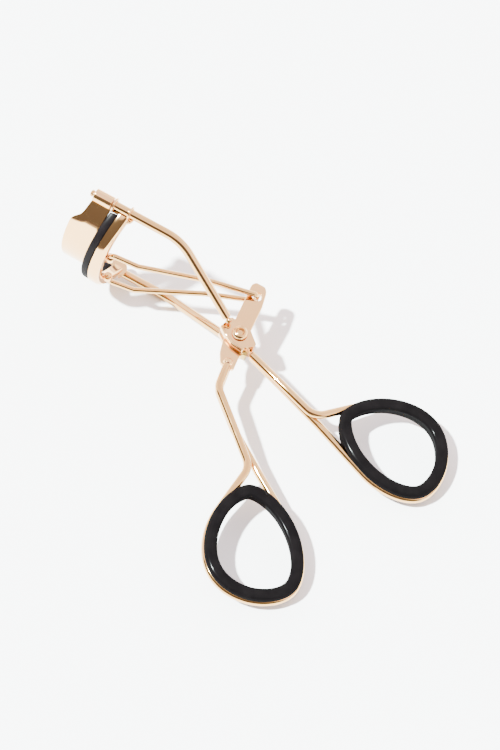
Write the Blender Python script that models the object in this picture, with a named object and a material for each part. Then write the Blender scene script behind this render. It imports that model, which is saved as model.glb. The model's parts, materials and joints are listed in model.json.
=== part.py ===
"""Eyelash curler with a sliding lash clamp.

Two finger handles cross at a pivot screw. The frame handle carries two guide rods and, on their
front ends, the fixed curved plate. The lever handle pulls a bent wire link, and the link slides
the clamp bar with its soft pad along the rods, up to the fixed plate.

The tool is modelled flat: x runs forward along the guide rods, h from the rods towards the lever
handle, w along the pivot screw. The whole model then lies down on its feet, with z up.
Sizes are in millimetres; metres are made where points are handed to Blender.
"""
import math

import bmesh
import bpy
from mathutils import Matrix, Vector

MM = 0.001
COLLECTION_NAME = "eyelash_curler"
GAP = 0.3                       # play between neighbouring pieces

# Pivot
LEVER_AXIS = (0.0, 8.15)
SCREW_R = 1.0
SCREW_HEAD_R = 1.95
SCREW_HEAD_RIM = 0.2
SCREW_HEAD_DOME = 0.7
NUT_R = 2.2
NUT_HEIGHT = 1.2
WASHER_R = 2.4
WASHER_HEIGHT = 0.7

# Frame bracket: two flanges and the web that joins them
FLANGE_OUTLINE = [
    (4.9, 8.4),
    (3.8, 5.2),
    (-2.1, 6.1),
    (-4.9, 8.6),
    (-4.75, 9.5),
    (-3.45, 10.5),
    (-2.4, 11.2),
    (0.25, 11.0),
    (2.65, 10.0),
]
FLANGE_TOP = 3.1
FLANGE_THICKNESS = 1.0
WEB_X = -3.95
SLOT_END = (9.0, 14.0)
ROOT_BLOCK_AT = (-3.38, 11.45)
ROOT_BLOCK_SIZE = (1.35, 1.3, 3.4)

# Guide rods
ROD_R = 1.15
ROD_W = 16.5
ROD_CORNER_X = 22.5
ROD_CORNER_RADIUS = 12.0
ROD_END = (3.34, 7.33, 4.3)
ROD_END_R = 0.85
ROD_NECK_SHARE = 0.12           # the rod narrows over this share of its bent end
SPIGOT_R = 0.72
SHOULDER_X = 41.4
SHOULDER_STEP = 0.05
ROD_TIP_X = 47.8

# Jaws: plate, bar and pad follow arcs about axes along x, and lean forward as they rise
JAW_LEAN = 0.17
LEAN_FROM_H = 1.5
SHEET = 0.45

# Fixed plate
PLATE_R = 19.7
PLATE_CENTRE_H = -11.1
PLATE_END_ANGLE = 54.0
PLATE_REAR_X = 41.5
PLATE_FRONT_END_X = 46.8
PLATE_FRONT_MID_X = 49.3
PLATE_STEP_ANGLE = 35.5
PLATE_STEP_WIDTH = 3.2
PLATE_END_FLARE = 0.9           # how much further the end's front edge reaches at the step
LIP_X = 42.1
LIP_FOOT_X = 42.5
LIP_TOP_R = 15.2                # measured about the clamp bar's arc
SLEEVE_R = 1.7
SLEEVE_X = (41.65, 46.6)
SLEEVE_BORE_R = 1.05

# Clamp bar
BAR_R = 17.2
BAR_CENTRE_H = -5.2
BAR_REAR_X = 36.5
BAR_MOUTH_X = 39.2
BAR_DEPTH = 2.8
BAR_END_ANGLE = 68.0
COLLAR_BORE_R = 1.35
COLLAR_THICKNESS = 0.5
COLLARS = [(36.7, 1.7), (41.1, 1.9)]        # x and outer radius
CHEEK_W = (14.2, 15.0)
CHEEK_AT = (37.6, 0.2)
CHEEK_R = 2.2
CHEEK_STEP = (36.9, 0.95)       # clear of the pad in front of this x and above this h
CHEEK_BRIDGE_H = -1.3
KNUCKLE_AT = (37.0, 8.0)
KNUCKLE_R = 1.35
KNUCKLE_W = (4.6, 6.1)

# Lash pad
PAD_REAR_X = 37.3
PAD_NECK_X = 39.5
PAD_FRONT_X = 41.2
PAD_END_ANGLE = 66.5
PAD_NECK_DEPTH = 1.3
PAD_HEAD_DEPTH = 2.4
PAD_CORNER = 0.6

# Link
LINK_R = 0.7
HOOK_AT = (1.3, -4.1)
HOOK_W = 1.65
HOOK_HOLE_R = 1.4
LINK_KINK = (13.5, -0.1, 3.85)
LINK_ELBOW = (29.8, 7.1, 6.75)
LINK_BASE_W = 7.25
LINK_END_W = 4.2
LINK_BEND_RADIUS = 1.3

# Lever plate: x, h and width of its sections, with half its height there
LEVER_SECTIONS = [
    (1.95, -7.5, 2.3, 0.7),
    (1.95, -7.2, 3.3, 0.7),
    (1.9, -6.5, 4.2, 0.7),
    (1.75, -5.6, 4.5, 0.7),
    (1.2, -2.2, 4.9, 0.7),
    (0.6, 5.0, 4.8, 0.7),
    (0.5, 8.15, 5.7, 0.7),
    (0.3, 10.9, 5.35, 0.7),
    (0.2, 11.5, 5.25, 1.75),
    (0.0, 12.6, 5.1, 1.85),
    (-0.3, 14.0, 4.9, 2.6),
    (-1.0, 16.0, 4.4, 2.6),
]

# Pocket in the lever plate for the two strands of its handle
POCKET_LOW = (-2.6, 14.6, -2.36)
POCKET_HIGH = (0.6, 19.0, 2.36)

# Handles: strands run beside the rings at these (u, v) points, or at (x, h) points on the lever
WIRE_R = 1.02
STRAND_W = 1.04
FRAME_UPPER_STRAND = [(-41.2, -9.35)]
FRAME_LOWER_STRAND = [(-17.0, -9.4), (-41.2, -8.9)]
LEVER_UPPER_ROOT = [(-0.88, 14.95), (-2.0, 22.7)]
LEVER_UPPER_STRAND = [(-30.0, -5.9)]
LEVER_LOWER_STRAND = [(-17.0, -8.0), (-30.0, -6.2)]
LEVER_LOWER_ROOT = [(-2.2, 22.5), (-1.05, 14.95)]
FRAME_RING_AT = (-46.8, 13.9)
FRAME_RING_ANGLE = 162.8
FRAME_RING_SIDE = 1
LEVER_RING_AT = (-28.9, 54.1)
LEVER_RING_ANGLE = 138.7
LEVER_RING_SIDE = -1
FRAME_LOOP_START = 155.0
LEVER_LOOP_START = 146.0
LOOP_END = -90.0
LOOP_W = -0.5
LOOP_OFFSET = 2.2               # from the ring's hole to the middle of the wire
CROTCH_RADIUS = 4.5

# Finger rings: distance from the hole's centre to its edge line, as a short series in the angle
HOLE_MEAN_R = 10.49
HOLE_OVAL = (1.465, 0.29)
HOLE_EGG = (-0.233, -0.689)
RING_FACE = 2.4                 # radial width below the wire
RING_TOP_FACE = 2.75            # and above it, where the ring covers the wire
RING_TOP_FROM_W = 1.1           # its underside clears the strand that climbs past it
RING_HALF_HEIGHT = 2.5
RING_TOP_CORNER = 0.8
RING_UNDER_CORNER = 0.55
GROOVE_R = 1.3
RING_STATIONS = 44

THROUGH = 9.0                   # half the length of tools that pass right through


def new_material(name, colour, roughness, metallic):
    material = bpy.data.materials.new(name)
    material.use_nodes = True
    shader = material.node_tree.nodes["Principled BSDF"]
    shader.inputs["Base Color"].default_value = (*colour, 1.0)
    shader.inputs["Roughness"].default_value = roughness
    shader.inputs["Metallic"].default_value = metallic
    return material


def rose_gold(name):
    return new_material(name, (0.88, 0.70, 0.56), 0.12, 1.0)


def black_plastic(name):
    return new_material(name, (0.02, 0.02, 0.022), 0.15, 0.0)


def black_rubber(name):
    return new_material(name, (0.015, 0.015, 0.015), 0.5, 0.0)


class Model:
    """The collections and the empties that the pieces hang on."""

    def __init__(self):
        for thing in list(bpy.data.objects):
            bpy.data.objects.remove(thing)
        self.parts = bpy.data.collections.new(COLLECTION_NAME)
        self.cutters = bpy.data.collections.new("cutters")
        for collection in (self.parts, self.cutters):
            bpy.context.scene.collection.children.link(collection)
        self.rest = self.empty("rest_frame", None, (0.0, 0.0))
        self.frame = self.empty("frame_origin", self.rest, (0.0, 0.0))
        self.lever = self.empty("lever_axis", self.rest, LEVER_AXIS)
        self.carriage = self.empty("carriage_axis", self.rest, (COLLARS[0][0], 0.0))
        self.link = self.empty("link_axis", self.rest, KNUCKLE_AT)

    def empty(self, name, parent, at):
        marker = bpy.data.objects.new(name, None)
        marker.location = (at[0] * MM, at[1] * MM, 0.0)
        marker.parent = parent
        self.parts.objects.link(marker)
        return marker

    def hang(self, piece, body, collection):
        """Parent a piece, whose mesh is in the flat frame, to its body's empty."""
        piece.parent = body
        piece.location = -body.location
        collection.objects.link(piece)

    def add(self, piece, body, material):
        self.hang(piece, body, self.parts)
        piece.data.materials.clear()
        piece.data.materials.append(material)
        piece.data.shade_smooth()
        piece.data.set_sharp_from_angle(angle=math.radians(35.0))
        return piece

    def boolean(self, piece, tool, operation):
        """Cut or join a piece with a tool that stays hidden beside it."""
        self.hang(tool, piece.parent, self.cutters)
        tool.hide_render = True
        tool.display_type = "WIRE"
        modifier = piece.modifiers.new(tool.name, "BOOLEAN")
        modifier.operation = operation
        modifier.solver = "EXACT"
        modifier.object = tool

    def cut(self, piece, tool):
        self.boolean(piece, tool, "DIFFERENCE")

    def join(self, piece, tool):
        self.boolean(piece, tool, "UNION")


def mesh_object(name, mesh_maker):
    """An object from a function that fills a bmesh in millimetres."""
    shape = bmesh.new()
    mesh_maker(shape)
    bmesh.ops.scale(shape, vec=(MM, MM, MM), verts=shape.verts)
    bmesh.ops.recalc_face_normals(shape, faces=shape.faces)
    mesh = bpy.data.meshes.new(name)
    shape.to_mesh(mesh)
    shape.free()
    return bpy.data.objects.new(name, mesh)


def loft(name, sections, closed=False):
    """Skin equal rings of points; an open loft gets an end face at each end."""

    def fill(shape):
        rings = [[shape.verts.new(point) for point in section] for section in sections]
        pairs = list(zip(rings, rings[1:]))
        if closed:
            pairs.append((rings[-1], rings[0]))
        for first, second in pairs:
            for i in range(len(first)):
                j = (i + 1) % len(first)
                shape.faces.new((first[i], first[j], second[j], second[i]))
        if not closed:
            shape.faces.new(rings[0])
            shape.faces.new(rings[-1])

    return mesh_object(name, fill)


def box(name, low, high):
    """A box between two corners."""
    size = [b - a for a, b in zip(low, high)]
    middle = [(a + b) / 2.0 for a, b in zip(low, high)]

    def fill(shape):
        bmesh.ops.create_cube(shape, size=1.0)
        bmesh.ops.scale(shape, vec=size, verts=shape.verts)
        bmesh.ops.translate(shape, vec=middle, verts=shape.verts)

    return mesh_object(name, fill)


def rod_between(name, start, end, radius, sides=24):
    """A straight cylinder between two points."""
    start = Vector(start)
    end = Vector(end)
    turn = (end - start).to_track_quat("Z", "Y").to_matrix().to_4x4()

    def fill(shape):
        bmesh.ops.create_cone(
            shape,
            cap_ends=True,
            segments=sides,
            radius1=radius,
            radius2=radius,
            depth=(end - start).length,
            matrix=Matrix.Translation((start + end) / 2.0) @ turn,
        )

    return mesh_object(name, fill)


def turned(name, profile, at, sides=32):
    """A solid turned about the w direction from a profile of (radius, w), top to bottom."""

    def fill(shape):
        turns = [2.0 * math.pi * i / sides for i in range(sides)]
        rings = []
        for radius, w in profile:
            ring = []
            for turn in turns:
                ring.append(shape.verts.new((radius * math.cos(turn), radius * math.sin(turn), w)))
            rings.append(ring)
        for first, second in zip(rings, rings[1:]):
            for i in range(sides):
                j = (i + 1) % sides
                shape.faces.new((first[i], first[j], second[j], second[i]))
        shape.faces.new(rings[0])
        shape.faces.new(rings[-1])
        bmesh.ops.translate(shape, vec=(at[0], at[1], 0.0), verts=shape.verts)

    return mesh_object(name, fill)


def flat_plate(name, outline, low, high):
    """A flat outline in x and h, extruded from w low to w high."""
    sections = []
    for w in (low, high):
        sections.append([(x, h, w) for x, h in outline])
    return loft(name, sections)


def rounded_path(corners, radius, steps=6):
    """A line through 3-D corners, with every inner corner turned into an arc."""
    corners = [Vector(corner) for corner in corners]
    path = [corners[0]]
    for before, corner, after in zip(corners, corners[1:], corners[2:]):
        back = (before - corner).normalized()
        ahead = (after - corner).normalized()
        half = back.angle(ahead) / 2.0
        tangent = radius / math.tan(half)
        centre = corner + (back + ahead).normalized() * radius / math.sin(half)
        start = corner + back * tangent - centre
        sweep = math.pi - 2.0 * half
        spin_axis = start.cross(corner + ahead * tangent - centre).normalized()
        for i in range(steps + 1):
            turn = Matrix.Rotation(sweep * i / steps, 3, spin_axis)
            path.append(centre + turn @ start)
    path.append(corners[-1])
    return path


def wire(name, path, radius, radii=None):
    """A round wire along a path, as a welded mesh; radii, if given, is one per point."""
    curve = bpy.data.curves.new(name, "CURVE")
    curve.dimensions = "3D"
    curve.bevel_depth = radius * MM
    curve.bevel_resolution = 3
    curve.use_fill_caps = True
    spline = curve.splines.new("POLY")
    spline.points.add(len(path) - 1)
    for i, point in enumerate(path):
        spline.points[i].co = (*(Vector(point) * MM), 1.0)
        if radii:
            spline.points[i].radius = radii[i] / radius
    drawn = bpy.data.objects.new(name, curve)
    bpy.context.scene.collection.objects.link(drawn)
    evaluated = drawn.evaluated_get(bpy.context.evaluated_depsgraph_get())
    mesh = bpy.data.meshes.new_from_object(evaluated)
    welded = bmesh.new()
    welded.from_mesh(mesh)
    bmesh.ops.remove_doubles(welded, verts=welded.verts, dist=1e-7)
    welded.to_mesh(mesh)
    welded.free()
    piece = bpy.data.objects.new(name, mesh)
    piece.matrix_world = drawn.matrix_world
    bpy.data.objects.remove(drawn)
    bpy.data.curves.remove(curve)
    piece.name = name
    return piece


def hole_point(angle, offset):
    """A point outside the ring hole's edge by offset, where the edge faces the given angle."""
    oval_cos, oval_sin = HOLE_OVAL
    egg_cos, egg_sin = HOLE_EGG
    reach = HOLE_MEAN_R + offset
    reach += oval_cos * math.cos(2 * angle) + oval_sin * math.sin(2 * angle)
    reach += egg_cos * math.cos(3 * angle) + egg_sin * math.sin(3 * angle)
    slide = 2 * (oval_sin * math.cos(2 * angle) - oval_cos * math.sin(2 * angle))
    slide += 3 * (egg_sin * math.cos(3 * angle) - egg_cos * math.sin(3 * angle))
    u = reach * math.cos(angle) - slide * math.sin(angle)
    v = reach * math.sin(angle) + slide * math.cos(angle)
    return u, v


class RingPlace:
    """Where a finger ring sits: u points away from the pivot, v to the outer side."""

    def __init__(self, at, angle, side):
        self.centre = Vector((at[0], at[1], 0.0))
        self.u = Vector((math.cos(math.radians(angle)), math.sin(math.radians(angle)), 0.0))
        self.v = Vector((-self.u.y, self.u.x, 0.0)) * side

    def point(self, u, v, w=0.0):
        return self.centre + self.u * u + self.v * v + Vector((0.0, 0.0, w))


def finger_ring(name, place):
    """A moulded ring with rounded edges and an outer groove for the wire."""
    profile = []
    under = RING_UNDER_CORNER
    top = RING_TOP_CORNER
    corners = [
        (under, -RING_HALF_HEIGHT + under, under, 180.0),
        (RING_FACE - under, -RING_HALF_HEIGHT + under, under, 270.0),
        (RING_TOP_FACE - top, RING_HALF_HEIGHT - top, top, 0.0),
        (top, RING_HALF_HEIGHT - top, top, 90.0),
    ]
    groove_half = math.acos((RING_FACE - LOOP_OFFSET) / GROOVE_R)
    for index, (offset, w, radius, start) in enumerate(corners):
        for step in range(4):
            turn = math.radians(start + 30.0 * step)
            profile.append((offset + radius * math.cos(turn), w + radius * math.sin(turn)))
        if index == 1:
            for step in range(7):
                turn = -groove_half + (2.0 * groove_half - 2.0 * math.pi) * step / 6.0
                depth = GROOVE_R * math.cos(turn)
                profile.append((LOOP_OFFSET + depth, LOOP_W + GROOVE_R * math.sin(turn)))
            profile.append((RING_TOP_FACE, RING_TOP_FROM_W))
    sections = []
    for station in range(RING_STATIONS):
        angle = 2.0 * math.pi * station / RING_STATIONS
        section = []
        for offset, w in profile:
            section.append(place.point(*hole_point(angle, offset), w))
        sections.append(section)
    return loft(name, sections, closed=True)


def handle_path(place, loop_start, outer_start, inner_end):
    """One wire: out along the upper strand, round the ring, and back along the lower strand."""
    steps = 30
    loop = []
    for i in range(steps + 1):
        angle = math.radians(loop_start + (LOOP_END - loop_start) * i / steps)
        loop.append(place.point(*hole_point(angle, LOOP_OFFSET), LOOP_W))
    before = outer_start[-1]
    arrival = (loop[1] - loop[0]).normalized()
    rise = (loop[0] - before).dot(place.v)
    corner = loop[0] - arrival * (rise / arrival.dot(place.v))
    corner.z = before.z
    outer = rounded_path([*outer_start, corner, loop[0]], CROTCH_RADIUS)
    inner = rounded_path([loop[-1], *inner_end], CROTCH_RADIUS)
    return outer[:-1] + loop + inner[1:]


def jaw_point(x, radius, degrees, centre_h):
    """A point on an arc of the jaws; x is where it would be without the forward lean."""
    angle = math.radians(degrees)
    h = centre_h + radius * math.cos(angle)
    w = radius * math.sin(angle)
    return Vector((x + JAW_LEAN * (h - LEAN_FROM_H), h, w))


def jaw_sweep(name, profile_at, centre_h, end_angle, stations):
    """Sweep a profile of (x, radius) along an arc; the profile may change on the way."""
    sections = []
    for i in range(stations):
        degrees = -end_angle + 2.0 * end_angle * i / (stations - 1)
        profile = profile_at(degrees)
        sections.append([jaw_point(x, radius, degrees, centre_h) for x, radius in profile])
    return loft(name, sections)


def lip_height(degrees):
    """How far the lip stands out of the plate: it meets the pad, and dies out at the ends."""
    angle = math.radians(degrees)
    w = PLATE_R * math.sin(angle)
    reach = (BAR_CENTRE_H - PLATE_CENTRE_H) / LIP_TOP_R
    full = LIP_TOP_R * (math.sqrt(max(0.0, 1.0 - (w / LIP_TOP_R) ** 2)) + reach)
    height = math.hypot(full, w) - PLATE_R
    return max(0.0, height) * (1.0 - (degrees / PLATE_END_ANGLE) ** 6)


def plate_profile(degrees):
    """The fixed plate's sheet: a lip at the rear, and a front edge that steps back at the ends."""
    step = (abs(degrees) - PLATE_STEP_ANGLE) / PLATE_STEP_WIDTH
    share = 1.0 / (1.0 + math.exp(2.0 * step))
    along_end = (PLATE_END_ANGLE - abs(degrees)) / (PLATE_END_ANGLE - PLATE_STEP_ANGLE)
    end_front = PLATE_FRONT_END_X + PLATE_END_FLARE * max(0.0, min(1.0, along_end))
    front = end_front + (PLATE_FRONT_MID_X - end_front) * share
    lip = PLATE_R + lip_height(degrees)
    fillet = PLATE_R + 0.3 * lip_height(degrees)
    inner = PLATE_R - SHEET
    return [
        (PLATE_REAR_X, lip),
        (LIP_X, lip),
        ((LIP_X + LIP_FOOT_X) / 2.0, fillet),
        (LIP_FOOT_X, PLATE_R),
        (front, PLATE_R),
        (front, inner),
        (LIP_X, inner),
        (PLATE_REAR_X, fillet - SHEET),
    ]


def bar_profile(_degrees):
    """The clamp bar's channel, open towards the fixed plate."""
    inner = BAR_R - BAR_DEPTH
    floor_x = BAR_REAR_X + SHEET
    return [
        (BAR_REAR_X, BAR_R),
        (BAR_MOUTH_X, BAR_R),
        (BAR_MOUTH_X, BAR_R - SHEET),
        (floor_x, BAR_R - SHEET),
        (floor_x, inner + SHEET),
        (BAR_MOUTH_X, inner + SHEET),
        (BAR_MOUTH_X, inner),
        (floor_x, inner),
        (BAR_REAR_X, inner + SHEET),
    ]


def pad_profile(_degrees):
    """The pad: a neck in the channel and a wider head with eased front corners."""
    middle = BAR_R - BAR_DEPTH / 2.0
    neck = PAD_NECK_DEPTH / 2.0
    head = PAD_HEAD_DEPTH / 2.0
    return [
        (PAD_REAR_X, middle + neck),
        (PAD_NECK_X, middle + neck),
        (PAD_NECK_X, middle + head),
        (PAD_FRONT_X - PAD_CORNER, middle + head),
        (PAD_FRONT_X, middle + head - PAD_CORNER),
        (PAD_FRONT_X, middle - head + PAD_CORNER),
        (PAD_FRONT_X - PAD_CORNER, middle - head),
        (PAD_NECK_X, middle - head),
        (PAD_NECK_X, middle - neck),
        (PAD_REAR_X, middle - neck),
    ]


def pivot_tool(name, at, radius):
    """A cylinder along w that passes right through, for a bore at (x, h)."""
    return rod_between(name, (*at, -THROUGH), (*at, THROUGH), radius)


def build_fixed_plate(model):
    plate = jaw_sweep("fixed_plate", plate_profile, PLATE_CENTRE_H, PLATE_END_ANGLE, 49)
    model.add(plate, model.frame, rose_gold("fixed_plate"))
    start, end = SLEEVE_X
    for side in (-1, 1):
        w = side * ROD_W
        sleeve = rod_between(f"sleeve{side:+d}", (start, 0.0, w), (end, 0.0, w), SLEEVE_R)
        model.join(plate, sleeve)
        ends = ((start - THROUGH, 0.0, w), (end + THROUGH, 0.0, w))
        model.cut(plate, rod_between(f"sleeve_bore{side:+d}", *ends, SLEEVE_BORE_R))


def build_guide_rods(model):
    for side, level in ((1, "upper"), (-1, "lower")):
        w = side * ROD_W
        end = (ROD_END[0], ROD_END[1], side * ROD_END[2])
        corners = [(SHOULDER_X, 0.0, w), (ROD_CORNER_X, 0.0, w), end]
        path = rounded_path(corners, ROD_CORNER_RADIUS, steps=8)
        path.insert(-1, path[-1].lerp(path[-2], ROD_NECK_SHARE))
        spigot = [(ROD_TIP_X, 0.0, w), (SHOULDER_X + SHOULDER_STEP, 0.0, w)]
        radii = [SPIGOT_R] * 2 + [ROD_R] * (len(path) - 1) + [ROD_END_R]
        rod = wire(f"guide_rod_{level}", spigot + path, ROD_R, radii)
        model.add(rod, model.frame, rose_gold(f"guide_rod_{level}"))


def build_bracket(model):
    bracket = flat_plate("frame_bracket", FLANGE_OUTLINE, -FLANGE_TOP, FLANGE_TOP)
    model.add(bracket, model.frame, rose_gold("frame_bracket"))
    inside = FLANGE_TOP - FLANGE_THICKNESS
    model.cut(bracket, box("bracket_slot", (WEB_X, 0.0, -inside), (*SLOT_END, inside)))
    model.cut(bracket, pivot_tool("bracket_bore", LEVER_AXIS, SCREW_R + GAP))
    half = [size / 2.0 for size in ROOT_BLOCK_SIZE]
    low = (ROOT_BLOCK_AT[0] - half[0], ROOT_BLOCK_AT[1] - half[1], -half[2])
    high = (ROOT_BLOCK_AT[0] + half[0], ROOT_BLOCK_AT[1] + half[1], half[2])
    block = box("frame_root_block", low, high)
    model.add(block, model.frame, rose_gold("frame_root_block"))


def build_pivot(model):
    head_low = FLANGE_TOP + GAP
    rim_top = head_low + SCREW_HEAD_RIM
    nut_top = -FLANGE_TOP - GAP
    nut_low = nut_top - NUT_HEIGHT
    profile = []
    for degrees in (80.0, 60.0, 40.0, 20.0):
        angle = math.radians(degrees)
        radius = SCREW_HEAD_R * math.cos(angle)
        profile.append((radius, rim_top + SCREW_HEAD_DOME * math.sin(angle)))
    profile += [(SCREW_HEAD_R, rim_top), (SCREW_HEAD_R, head_low)]
    profile += [(SCREW_R, head_low), (SCREW_R, nut_low - GAP)]
    screw = turned("pivot_screw", profile, LEVER_AXIS)
    model.add(screw, model.frame, rose_gold("pivot_screw"))

    nut = turned("pivot_nut", [(NUT_R, nut_top), (NUT_R, nut_low)], LEVER_AXIS, sides=6)
    model.add(nut, model.frame, rose_gold("pivot_nut"))
    model.cut(nut, pivot_tool("nut_bore", LEVER_AXIS, SCREW_R + GAP))

    for side, level in ((1, "upper"), (-1, "lower")):
        middle = side * (FLANGE_TOP - FLANGE_THICKNESS - GAP - WASHER_HEIGHT / 2.0)
        rim = [(WASHER_R, middle + WASHER_HEIGHT / 2.0), (WASHER_R, middle - WASHER_HEIGHT / 2.0)]
        name = f"pivot_washer_{level}"
        washer = turned(name, rim, LEVER_AXIS)
        model.add(washer, model.frame, rose_gold(name))
        model.cut(washer, pivot_tool(f"{name}_hole", LEVER_AXIS, SCREW_R + GAP))


def build_frame_handle(model):
    place = RingPlace(FRAME_RING_AT, FRAME_RING_ANGLE, FRAME_RING_SIDE)
    ring = finger_ring("frame_finger_ring", place)
    model.add(ring, model.frame, black_plastic("frame_finger_ring"))
    outer = [place.point(*at, STRAND_W) for at in FRAME_UPPER_STRAND]
    inner = [place.point(*at, -STRAND_W) for at in FRAME_LOWER_STRAND]
    handle = wire("frame_handle_wire", handle_path(place, FRAME_LOOP_START, outer, inner), WIRE_R)
    model.add(handle, model.frame, rose_gold("frame_handle_wire"))


def build_lever(model):
    place = RingPlace(LEVER_RING_AT, LEVER_RING_ANGLE, LEVER_RING_SIDE)
    ring = finger_ring("lever_finger_ring", place)
    model.add(ring, model.lever, black_plastic("lever_finger_ring"))
    outer = [Vector((*at, STRAND_W)) for at in LEVER_UPPER_ROOT]
    outer += [place.point(*at, STRAND_W) for at in LEVER_UPPER_STRAND]
    inner = [place.point(*at, -STRAND_W) for at in LEVER_LOWER_STRAND]
    inner += [Vector((*at, -STRAND_W)) for at in LEVER_LOWER_ROOT]
    handle = wire("lever_handle_wire", handle_path(place, LEVER_LOOP_START, outer, inner), WIRE_R)
    model.add(handle, model.lever, rose_gold("lever_handle_wire"))

    sections = []
    for x, h, width, half_height in LEVER_SECTIONS:
        half = width / 2.0
        sections.append([
            (x - half, h, -half_height),
            (x + half, h, -half_height),
            (x + half, h, half_height),
            (x - half, h, half_height),
        ])
    plate = loft("lever_plate", sections)
    model.add(plate, model.lever, rose_gold("lever_plate"))
    model.cut(plate, pivot_tool("lever_bore", LEVER_AXIS, SCREW_R + GAP))
    model.cut(plate, pivot_tool("hook_hole", HOOK_AT, HOOK_HOLE_R))
    model.cut(plate, box("strand_pocket", POCKET_LOW, POCKET_HIGH))


def cheek_outline(front):
    """A round ear, cut away where the pad ends, with a bridge to the front collar."""
    step_x, step_h = CHEEK_STEP
    first = math.acos((step_x - CHEEK_AT[0]) / CHEEK_R)
    last = 2.0 * math.pi + math.asin((CHEEK_BRIDGE_H - CHEEK_AT[1]) / CHEEK_R)
    outline = [(front, CHEEK_BRIDGE_H), (front, step_h), (step_x, step_h)]
    for i in range(19):
        turn = first + (last - first) * i / 18.0
        outline.append((CHEEK_AT[0] + CHEEK_R * math.cos(turn), CHEEK_AT[1] + CHEEK_R * math.sin(turn)))
    return outline


def build_carriage(model):
    bar = jaw_sweep("moving_bar", bar_profile, BAR_CENTRE_H, BAR_END_ANGLE, 37)
    model.add(bar, model.carriage, rose_gold("moving_bar"))
    rear = COLLARS[0][0]
    front = COLLARS[-1][0]
    half = COLLAR_THICKNESS / 2.0
    for side in (-1, 1):
        w = side * ROD_W
        low, high = sorted(side * value for value in CHEEK_W)
        model.join(bar, flat_plate(f"cheek{side:+d}", cheek_outline(front + half), low, high))
        for x, radius in COLLARS:
            name = f"collar{side:+d}_{x:.0f}"
            model.join(bar, rod_between(name, (x - half, 0.0, w), (x + half, 0.0, w), radius))
        knuckle_w = [side * value for value in KNUCKLE_W]
        start = (*KNUCKLE_AT, knuckle_w[0])
        end = (*KNUCKLE_AT, knuckle_w[1])
        model.join(bar, rod_between(f"knuckle{side:+d}", start, end, KNUCKLE_R))
    for side in (-1, 1):
        w = side * ROD_W
        ends = ((rear - THROUGH, 0.0, w), (front + THROUGH, 0.0, w))
        model.cut(bar, rod_between(f"collar_bore{side:+d}", *ends, COLLAR_BORE_R))
    model.cut(bar, pivot_tool("knuckle_bore", KNUCKLE_AT, LINK_R + GAP))
    pad = jaw_sweep("lash_pad", pad_profile, BAR_CENTRE_H, PAD_END_ANGLE, 33)
    model.add(pad, model.carriage, black_rubber("lash_pad"))


def build_link(model):
    half = [
        (*KNUCKLE_AT, LINK_END_W),
        (*KNUCKLE_AT, LINK_BASE_W),
        LINK_ELBOW,
        LINK_KINK,
        (*HOOK_AT, HOOK_W),
    ]
    other_half = [(x, h, -w) for x, h, w in reversed(half)]
    path = rounded_path(half + other_half, LINK_BEND_RADIUS)
    link = wire("link_bail", path, LINK_R)
    model.add(link, model.link, rose_gold("link_bail"))


def world_points(name):
    piece = bpy.data.objects[name]
    shape = piece.evaluated_get(bpy.context.evaluated_depsgraph_get()).to_mesh()
    return [piece.matrix_world @ vertex.co for vertex in shape.vertices]


def lay_down(model):
    """Turn the tool until it stands on the lower collars and both finger rings, on z = 0."""
    feet = ("moving_bar", "frame_finger_ring", "lever_finger_ring")
    for _ in range(6):
        bpy.context.view_layer.update()
        touch = [min(world_points(name), key=lambda point: point.z) for name in feet]
        normal = (touch[1] - touch[0]).cross(touch[2] - touch[0]).normalized()
        if normal.z < 0.0:
            normal.negate()
        levelling = normal.rotation_difference(Vector((0.0, 0.0, 1.0))).to_matrix().to_4x4()
        model.rest.matrix_world = levelling @ model.rest.matrix_world
    bpy.context.view_layer.update()
    points = []
    for piece in model.parts.objects:
        if piece.type == "MESH":
            points += world_points(piece.name)
    low = Vector(min(point[i] for point in points) for i in range(3))
    high = Vector(max(point[i] for point in points) for i in range(3))
    base = Vector(((low.x + high.x) / 2.0, (low.y + high.y) / 2.0, low.z))
    model.rest.matrix_world = Matrix.Translation(-base) @ model.rest.matrix_world
    bpy.context.view_layer.update()


def main():
    model = Model()
    build_bracket(model)
    build_pivot(model)
    build_guide_rods(model)
    build_fixed_plate(model)
    build_frame_handle(model)
    build_lever(model)
    build_carriage(model)
    build_link(model)
    lay_down(model)


main()
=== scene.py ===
"""Looks of the eyelash curler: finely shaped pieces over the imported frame, materials, light, camera.

Every piece is shaped in the tool's own flat frame, in millimetres: x runs forward along the guide
rods, h from the rods towards the lever handle, w along the pivot screw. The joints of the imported
record say where that flat frame lies in the world.
"""
import json
import math

import bmesh
import bpy
from mathutils import Matrix, Vector


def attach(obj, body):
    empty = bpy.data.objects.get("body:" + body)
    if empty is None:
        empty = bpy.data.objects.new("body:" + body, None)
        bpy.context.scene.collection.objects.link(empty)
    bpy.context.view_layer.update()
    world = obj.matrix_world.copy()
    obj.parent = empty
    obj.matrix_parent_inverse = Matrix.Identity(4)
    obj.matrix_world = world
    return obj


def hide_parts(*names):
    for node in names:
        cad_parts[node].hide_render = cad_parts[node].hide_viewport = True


MM = 0.001

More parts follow.
